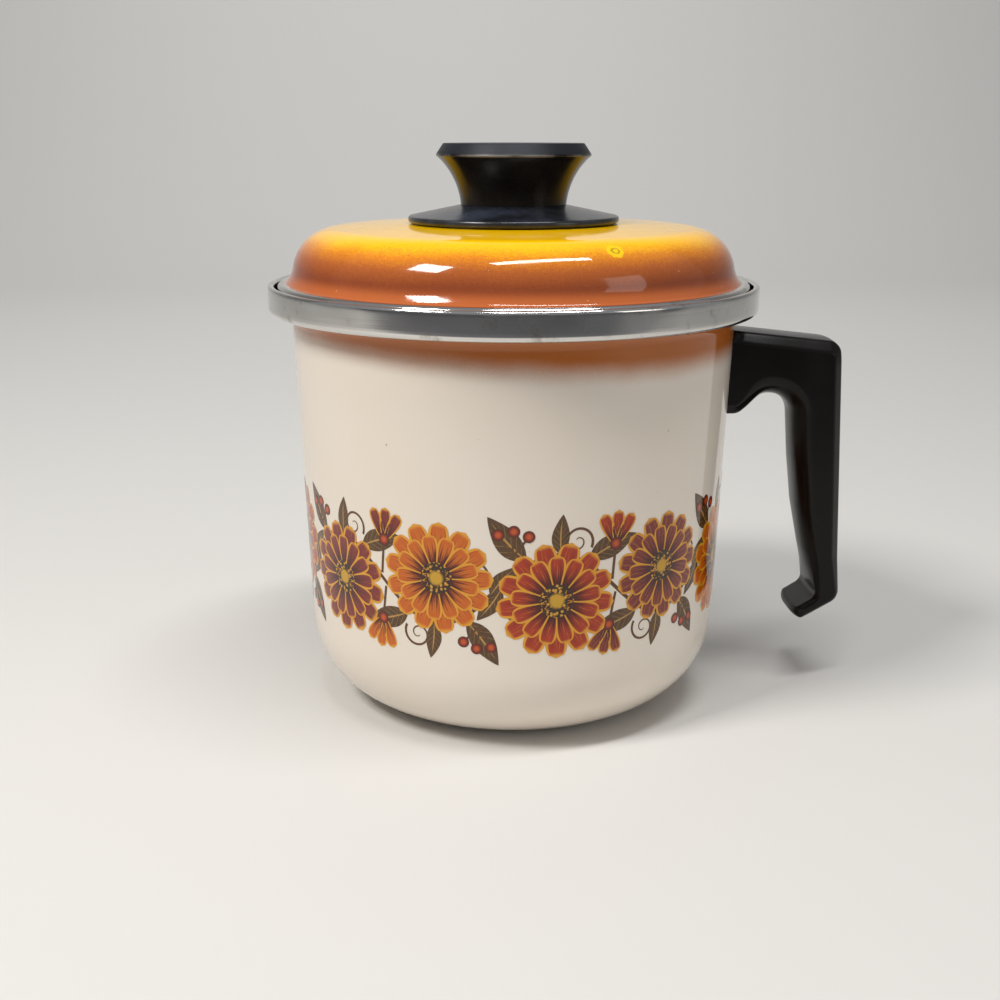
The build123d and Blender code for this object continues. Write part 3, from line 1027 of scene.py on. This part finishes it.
def make_moulding(name, gloss, bloom_and_sheen, shine, worn_above=above_everything):
    """Black moulding with a bluish grey that is partly dust bloom and partly painted sky reflection; above a
    height, hands have dulled it and chipped its edge, and a painted sheen greys it.
    """
    finish, inputs, place = new_finish(name, {"Specular IOR Level": shine})
    x, y, height = apart(place)
    cloud = noise(place, 60.0, detail=4.0, roughness=0.6)
    rubs = noise(together(x * 500.0, y * 500.0, height * 60.0), 2.0)
    dust = spots(place, 500.0, size=0.09, share=0.12) * ramp_between(cloud, 0.4, 0.7)
    wear_and_sheen = ramp_between(height, worn_above, worn_above + worn_fade)
    chips = ramp_between(abs(height - worn_above), *chip_edge) * ramp_between(cloud, 0.35, 0.6)
    # Bluish grey: part dust bloom, part painted sky reflection; on the worn cap it is painted sheen
    colour = mixed(ramp_between(cloud, 0.3, 0.8) * bloom_and_sheen + wear_and_sheen * 0.25, moulding_black, bloom_and_sky_grey)
    colour = mixed(dust * (0.3 + 0.4 * bloom_and_sheen) + chips * 0.6, colour, dust_grey)
    roughness = spread(cloud * 0.6 + rubs * 0.4, gloss, gloss + 0.22) + wear_and_sheen * 0.25
    coat(inputs, colour, roughness, bumped(noise(place, 240.0, detail=2.0), 0.02 * mm))
    return finish


knob_moulding = make_moulding("knob_moulding", gloss=0.10, bloom_and_sheen=0.25, shine=0.22, worn_above=cap_edge)
disc_moulding = make_moulding("disc_moulding", gloss=0.12, bloom_and_sheen=0.9, shine=0.5)
handle_moulding = make_moulding("handle_moulding", gloss=0.11, bloom_and_sheen=0.03, shine=0.2)
print("finishes:", knob_moulding.name, disc_moulding.name, handle_moulding.name)

# %% [markdown]
# ## Knob and disc
# The knob is a spool: a hollow waist for the fingertips under a cap with a bevelled edge. It stands on a
# wide disc that hides the screw's seat and keeps the fingers off the hot lid. The waist is one arc through
# three measured points, and the rest are short runs with small rounds.

# %% Knob
disc_top = top_of("knob_base")
neck_radius = 16.5 * mm
waist_middle = (18.2 * mm, disc_top + 6.8 * mm)
waist_top = (22.9 * mm, disc_top + 13.8 * mm)
waist_steps = 24
cap_rim = (24.3 * mm, disc_top + 15.0 * mm)
cap_flat = 21.9 * mm
cap_round = 0.5 * mm
cap_step = 1.0 * mm
spigot_radius = 9.0 * mm
spigot_foot = foot_of("knob")
spigot_step = 2.0 * mm
knob_segments = 160


def make_knob():
    corners = [(0, spigot_foot), (spigot_radius, spigot_foot), (spigot_radius, disc_top)]
    spigot = rounded_path(corners, [0], spigot_step)
    waist = arc_through((neck_radius, disc_top), waist_middle, waist_top, waist_steps)
    corners = [waist[-1], cap_rim, (cap_flat, cap_top), (0, cap_top)]
    cap = rounded_path(corners, [cap_round, cap_round], cap_step)
    knob = turned("knob_spool", spigot + waist + cap[1:], knob_moulding, segments=knob_segments)
    stand_for(knob, "lid", "black_moulding", "knob")


make_knob()

# %% Disc
disc_skirt = 3.0 * mm
disc_hollow = 1.8 * mm
disc_edge = 2.0 * mm
disc_round = 0.9 * mm
disc_step = 1.5 * mm
boss_radius = 13.0 * mm
gasket_room = 0.6 * mm
spigot_gap = 0.15 * mm
disc_segments = 200


def make_disc():
    edge, foot = radius_of("knob_base"), foot_of("knob_base")
    hollow = foot + disc_hollow
    boss_foot = lid_top + gasket_room
    pocket, pocket_floor = spigot_radius + spigot_gap, spigot_foot - spigot_gap
    corners = [
        (fixing_bore, boss_foot),
        (boss_radius, boss_foot),
        (boss_radius, hollow),
        (edge - disc_skirt, hollow),
        (edge - disc_skirt, foot),
        (edge, foot),
        (edge, foot + disc_edge),
        (neck_radius, disc_top),
        (pocket, disc_top),
        (pocket, pocket_floor),
        (fixing_bore, pocket_floor),
        (fixing_bore, boss_foot),
    ]
    bends = [0, 0, 0, 0, disc_round, disc_round, 0, 0, 0, 0]
    outline = rounded_path(corners, bends, disc_step)
    disc = turned("knob_disc", outline, disc_moulding, segments=disc_segments)
    stand_for(disc, "lid", "black_moulding", "knob_base")


make_disc()

# %% [markdown]
# ## The handle
# The handle is a moulded hook: an arm against the wall, a grip that hangs from it, and a toe that turns in.
# Its outer edges are bevelled and the edges under the fingers are fully round. A Bevel modifier can't mix
# the two, so the mesh is built in layers across the width. Each layer is the outline drawn in a little,
# along a straight bevel outside and along a quarter round inside. The end against the pot is placed on the
# wall itself, layer by layer, so it fits like a saddle.

# %% Handle outline
arm_top = flange_under - 6.8 * mm
arm_foot = arm_top - 27.4 * mm
arm_fall = radians(6.5)
arm_wall = wall_radius(arm_top)
grip_outside = arm_wall + 35.5 * mm
grip_inside = arm_wall + 20.4 * mm
throat = arm_foot + 5.8 * mm
throat_end = grip_inside - 9.2 * mm
arm_end = grip_inside - 18.1 * mm
grip_swell = (grip_inside + 3.3 * mm, throat - 37.8 * mm)
heel = grip_outside + 3.9 * mm
heel_rise = 7.7 * mm
toe_foot = 21.2 * mm
toe_back = 13.6 * mm
tip = Vector((heel - 16.0 * mm, toe_foot + 3.4 * mm))
ankle = Vector((heel - 7.6 * mm, toe_foot + 8.4 * mm))
hook_step = 1.5 * mm


def handle_path():
    """Outline of the hook from the wall, along its top and outside, round the toe and back to the wall."""
    shoulder = arm_top - (grip_outside - arm_wall) * tan(arm_fall)
    # Each corner has the radius of its bend, in millimetres
    bent = [
        ((grip_outside, shoulder), 4.5),
        ((heel, toe_foot + heel_rise), 5.0),
        ((heel - toe_back, toe_foot), 1.98),
        (tip, 1.98),
        (ankle, 3.0),
        (grip_swell, 180.0),
        ((grip_inside, throat), 7.5),
        ((throat_end, throat), 5.5),
        ((arm_end, arm_foot), 4.5),
    ]
    corners = [(arm_wall, arm_top), *(corner for corner, _ in bent), (arm_wall, arm_foot)]
    return rounded_path(corners, [bend * mm for _, bend in bent], hook_step)


def inward_normals(path):
    """Directions into the moulding at each point of an outline that runs clockwise."""
    normals = []
    for i in range(len(path)):
        along = (path[min(i + 1, len(path) - 1)] - path[max(i - 1, 0)]).normalized()
        normals.append(Vector((along.y, -along.x)))
    return normals


hook = handle_path()
hook_normals = inward_normals(hook)
print(f"handle outline: {len(hook)} points, toe {toe_foot / mm:.1f} mm above the base")

# %% Handle edges
handle_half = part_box("handle")[1].y
bevel, toe_bevel, bevel_ease = 3.0 * mm, 1.2 * mm, 0.5 * mm
# Heights, or distances from the axis, between which a form fades in
bevel_grows = (toe_foot + 8.0 * mm, toe_foot + 22.0 * mm)
crown = 0.8 * mm
crown_grows = (arm_top - 10.0 * mm, arm_top - 5.0 * mm)
finger_reach, finger_depth, finger_full = 10.0 * mm, 7.2 * mm, 32.0 * mm
finger_rises = (toe_foot + 7.0 * mm, toe_foot + 22.0 * mm)
finger_leaves_wall = (arm_wall + 3.0 * mm, arm_wall + 13.0 * mm)
outside_from, top_from = grip_outside - 3.0 * mm, arm_top - 12.0 * mm
nose_reach, nose_depth, nose_fade = 8.0 * mm, 3.0 * mm, 7.0 * mm
toe_axis = (ankle - tip).normalized()


def share_between(value, low, high):
    """0 below low, 1 above high and even in between."""
    return max(0.0, min(1.0, (value - low) / (high - low)))


def eased(share):
    """The same share with soft ends."""
    return share * share * (3 - 2 * share)


def quarter_round(rise, reach, depth):
    """How far a quarter round has drawn in when it has risen so far."""
    return depth * (1 - sqrt(1 - share_between(rise, 0.0, reach) ** 2))


def finger_side(point):
    """0 on the bevelled outside of the hook, 1 where fingers go, with soft changes in between."""
    if point.x > outside_from or point.y > top_from:
        return 0.0
    return eased(share_between(point.y, *finger_rises)) * eased(share_between(point.x, *finger_leaves_wall))


def drawn_in(side, point):
    """How far the outline is drawn in at a distance to one side, for a crowned bevel or a finger round."""
    width = toe_bevel + (bevel - toe_bevel) * share_between(point.y, *bevel_grows)
    start = side - (handle_half - width)
    straight = max(0.0, start) if abs(start) > bevel_ease else (start + bevel_ease) ** 2 / (4 * bevel_ease)
    straight += quarter_round(side - (handle_half - bevel_ease), bevel_ease, bevel_ease)
    straight += crown * share_between(point.y, *crown_grows) * (side / handle_half) ** 2
    thick = share_between(heel - point.x, 0.0, finger_full)
    depth = finger_depth * thick * (2 - thick)
    rounded = quarter_round(side - (handle_half - finger_reach), finger_reach, depth)
    return straight + (rounded - straight) * finger_side(point)


def nose(side, point):
    """Draws the toe's corners back along the toe, so that it is round seen from above."""
    near = share_between(nose_fade - (point - tip).length, 0.0, nose_fade)
    return toe_axis * near * quarter_round(side - (handle_half - nose_reach), nose_reach, nose_depth)


print(f"handle {2 * handle_half / mm:.1f} mm wide, finger round {finger_reach / mm:.1f} mm")

# %% Handle
saddle_gap = 0.2 * mm
end_count = 18
side_shares = [
    0, 0.16, 0.3, 0.4, 0.5, 0.58, 0.65, 0.7, 0.74, 0.78, 0.82, 0.86, 0.9, 0.935, 0.96, 0.98, 0.994, 1,
]


def layer_at(side):
    """One layer of the handle: the outline drawn in, then the end that lies on the wall."""
    away = abs(side)
    layer = []
    for point, normal in zip(hook, hook_normals):
        layer.append(point + normal * drawn_in(away, point) + nose(away, point))
    layer += [layer[-1].lerp(layer[0], i / end_count) for i in range(1, end_count)]
    for i, point in enumerate(layer):
        on_wall = i == 0 or i >= len(hook) - 1
        x = sqrt((wall_radius(point.y) + saddle_gap) ** 2 - side ** 2) if on_wall else point.x
        yield x, side, point.y


def make_handle():
    half_sides = [share * handle_half for share in side_shares]
    sides = [-side for side in half_sides[:0:-1]] + half_sides
    vertices = [vertex for side in sides for vertex in layer_at(side)]
    ring = len(vertices) // len(sides)
    faces = [
        (a * ring + i, a * ring + (i + 1) % ring, (a + 1) * ring + (i + 1) % ring, (a + 1) * ring + i)
        for a in range(len(sides) - 1)
        for i in range(ring)
    ]
    faces += [tuple(range(ring)), tuple(range((len(sides) - 1) * ring, len(vertices)))]
    handle = add_object("handle_hook", new_mesh("handle_hook", vertices, faces))
    handle.data.materials.append(handle_moulding)
    outward(handle)
    return handle


handle = make_handle()
print(f"handle_hook: {len(handle.data.polygons)} faces")

# %% [markdown]
# ## The screw well
# One screw holds the handle. It goes in from the outside of the grip, down a well to a washer. The well is
# cut with a Boolean, and a Weighted Normal modifier then keeps the flat sides flat beside the round edges.

# %% Screw well
well_radius = 5.25 * mm
well_floor = 23.1 * mm
well_sides = 48
cutter_length = 30 * mm
screw_level = arm_top - 12.4 * mm
handle_crease = radians(40)


def cut_well(handle):
    shape = bmesh.new()
    sizes = {"radius1": well_radius, "radius2": well_radius, "depth": cutter_length}
    bmesh.ops.create_cone(shape, cap_ends=True, segments=well_sides, **sizes)
    turn = Matrix.Rotation(pi / 2 + wall_lean, 4, "Y")
    out = Vector((cos(wall_lean), 0, -sin(wall_lean)))
    start = Vector((wall_radius(screw_level), 0, screw_level))
    shape.transform(Matrix.Translation(start + out * (well_floor + cutter_length / 2)) @ turn)
    cutter = add_object("well_cutter", bpy.data.meshes.new("well_cutter"))
    shape.to_mesh(cutter.data)
    shape.free()
    cut = handle.modifiers.new("well", "BOOLEAN")
    cut.operation = "DIFFERENCE"
    cut.object = cutter
    cut.solver = "EXACT"
    plain_mesh(handle)
    bpy.data.objects.remove(cutter)


def smooth_by_angle(piece, angle):
    """Smooth shading with sharp edges where the faces meet at more than an angle."""
    piece.data.shade_smooth()
    piece.data.set_sharp_from_angle(angle=angle)
    piece.modifiers.new("weighted", "WEIGHTED_NORMAL").keep_sharp = True
    plain_mesh(piece)


cut_well(handle)
smooth_by_angle(handle, handle_crease)
stand_for(handle, "pot", "black_moulding", "handle")
print(f"handle_hook with its well: {len(handle.data.polygons)} faces")

# %% [markdown]
# ## Fixings
# The screws, washers, nut, strap, insert and gasket are small and mostly hidden, and their solids already
# have the right shape. They only need finishes: bright zinc, plain pressed steel, machined brass and rubber.

# %% Fixings
rubber_black, rubber_grey = srgb(26, 25, 24), srgb(44, 42, 40)


def make_metal(name, bright, dull, low, high):
    """A small metal part's finish, with grain between two roughnesses and dull stains."""
    finish, inputs, place = new_finish(name, {"Metallic": 1.0})
    grain = noise(place, 900.0, detail=4.0, roughness=0.6)
    stain = ramp_between(noise(place, 150.0), 0.4, 0.7)
    coat(inputs, mixed(stain, bright, dull), spread(grain, low, high), bumped(grain, 0.004 * mm))
    return finish


def make_rubber():
    finish, inputs, place = new_finish("gasket_rubber")
    grain = noise(place, 700.0)
    colour = mixed(grain, rubber_black, rubber_grey)
    coat(inputs, colour, spread(grain, 0.6, 0.85), bumped(grain, 0.01 * mm))
    return finish


zinc = make_metal("fastener_zinc", srgb(196, 197, 200), srgb(150, 148, 142), 0.2, 0.42)
strap_steel = make_metal("strap_steel", srgb(150, 150, 152), srgb(110, 102, 94), 0.35, 0.55)
brass = make_metal("insert_brass", srgb(206, 172, 96), srgb(150, 116, 56), 0.2, 0.4)
fixing_finishes = {
    "handle_screw": zinc,
    "handle_washer": zinc,
    "bracket_nut": zinc,
    "handle_bracket": strap_steel,
    "knob_screw": zinc,
    "knob_washer": zinc,
    "knob_insert": brass,
    "knob_gasket": make_rubber(),
}
for node, finish in fixing_finishes.items():
    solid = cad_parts[node]
    solid.data.materials.clear()
    solid.data.materials.append(finish)
print("finished solids:", ", ".join(fixing_finishes))

# %% [markdown]
# ## Floor and light
# A pale floor that curves up into a backdrop keeps the picture plain. Gloss needs something to reflect, so
# the light comes from soft panels: a main one high on the left, a low fill on the right, a strip overhead
# that draws a line along the lid, and one that lights the backdrop. Bright metal also needs something dark,
# so the floor is deeper grey on the side of the camera.

# %% Floor
floor_front = 3.0
floor_side = 6.0
backdrop = 2.0
backdrop_top = 3.0
cove_radius = 0.8
floor_step = 0.5
grey_from, grey_full = -0.24, -0.55
floor_pale, floor_grey = srgb(214, 212, 208), srgb(104, 104, 107)


def make_floor():
    corners = [(-floor_front, 0), (backdrop, 0), (backdrop, backdrop_top)]
    section = rounded_path(corners, [cove_radius], floor_step)
    vertices = [(side * floor_side, point.x, point.y) for point in section for side in (-1, 1)]
    faces = [(2 * i, 2 * i + 1, 2 * i + 3, 2 * i + 2) for i in range(len(section) - 1)]
    floor = add_object("floor", new_mesh("floor", vertices, faces))
    floor.data.shade_smooth()
    finish, inputs, place = new_finish("pale_floor", {"Roughness": 0.6})
    front = ramp_between(apart(place)[1] + noise(place, 6.0) * 0.02, grey_from, grey_full)
    feed(inputs["Base Color"], mixed(front, floor_pale, floor_grey))
    floor.data.materials.append(finish)
    print(f"floor: {len(faces)} faces")


make_floor()

# %% Light
pot_middle = (0, 0, 0.09)
backdrop_middle = (0, 1.9, 0.5)
white, warm_white = (1.0, 1.0, 1.0), (1.0, 0.97, 0.93)
sky_colour, sky_strength = (0.92, 0.95, 1.0, 1.0), 0.3


def add_panel(name, place, target, width, height, watts, colour=white):
    """A soft rectangular lamp that faces a point."""
    lamp = bpy.data.lights.new(name, "AREA")
    lamp.shape = "RECTANGLE"
    lamp.size, lamp.size_y = width, height
    lamp.energy = watts
    lamp.color = colour
    aim = (Vector(target) - Vector(place)).to_track_quat("-Z", "Y")
    add_object(name, lamp).matrix_world = Matrix.Translation(place) @ aim.to_matrix().to_4x4()


add_panel("main_panel", (-0.64, -0.42, 0.95), pot_middle, 0.28, 0.28, 9.5, warm_white)
add_panel("fill_panel", (1.1, -0.8, 0.45), pot_middle, 0.5, 0.7, 1.8, warm_white)
add_panel("top_strip", (0.12, -0.25, 1.0), pot_middle, 0.6, 0.1, 4.4)
add_panel("back_panel", (0.0, 0.75, 1.3), backdrop_middle, 1.2, 0.6, 9.0)
scene.world = bpy.data.worlds.new("studio")
scene.world.use_nodes = True
sky = scene.world.node_tree.nodes["Background"].inputs
sky["Color"].default_value = sky_colour
sky["Strength"].default_value = sky_strength
print("lamps:", [light.name for light in bpy.data.lights])

# %% [markdown]
# ## Camera
# The camera stands close, about as high as the knob, and looks down a little, as a hand-held camera would.
# Its place was worked out from the ellipses of the rim and the base: their widths give the distance, and
# their openness the height.

# %% Camera
lens_px, picture_px, shift_px = 1350.4, 1000, 13.0
sensor = 36.0
near_limit = 0.01
camera_distance = 0.4325
camera_height = 0.1797
camera_pitch = radians(15.22)
camera_pan = atan2(shift_px, lens_px)
camera_roll = radians(0.05)
handle_turn = radians(4.0)


def add_camera():
    data = bpy.data.cameras.new("camera")
    data.sensor_width = sensor
    data.lens = sensor * lens_px / picture_px
    data.clip_start = near_limit
    stand = Matrix.Rotation(-handle_turn, 4, "Z") @ Matrix.Translation((0, -camera_distance, camera_height))
    aim = Matrix.Rotation(camera_pan, 4, "Z") @ Matrix.Rotation(pi / 2 - camera_pitch, 4, "X")
    scene.camera = add_object("camera", data)
    scene.camera.matrix_world = stand @ aim @ Matrix.Rotation(camera_roll, 4, "Z")
    print(f"camera: {data.lens:.1f} mm lens, {camera_distance:.3f} m from the axis")


add_camera()
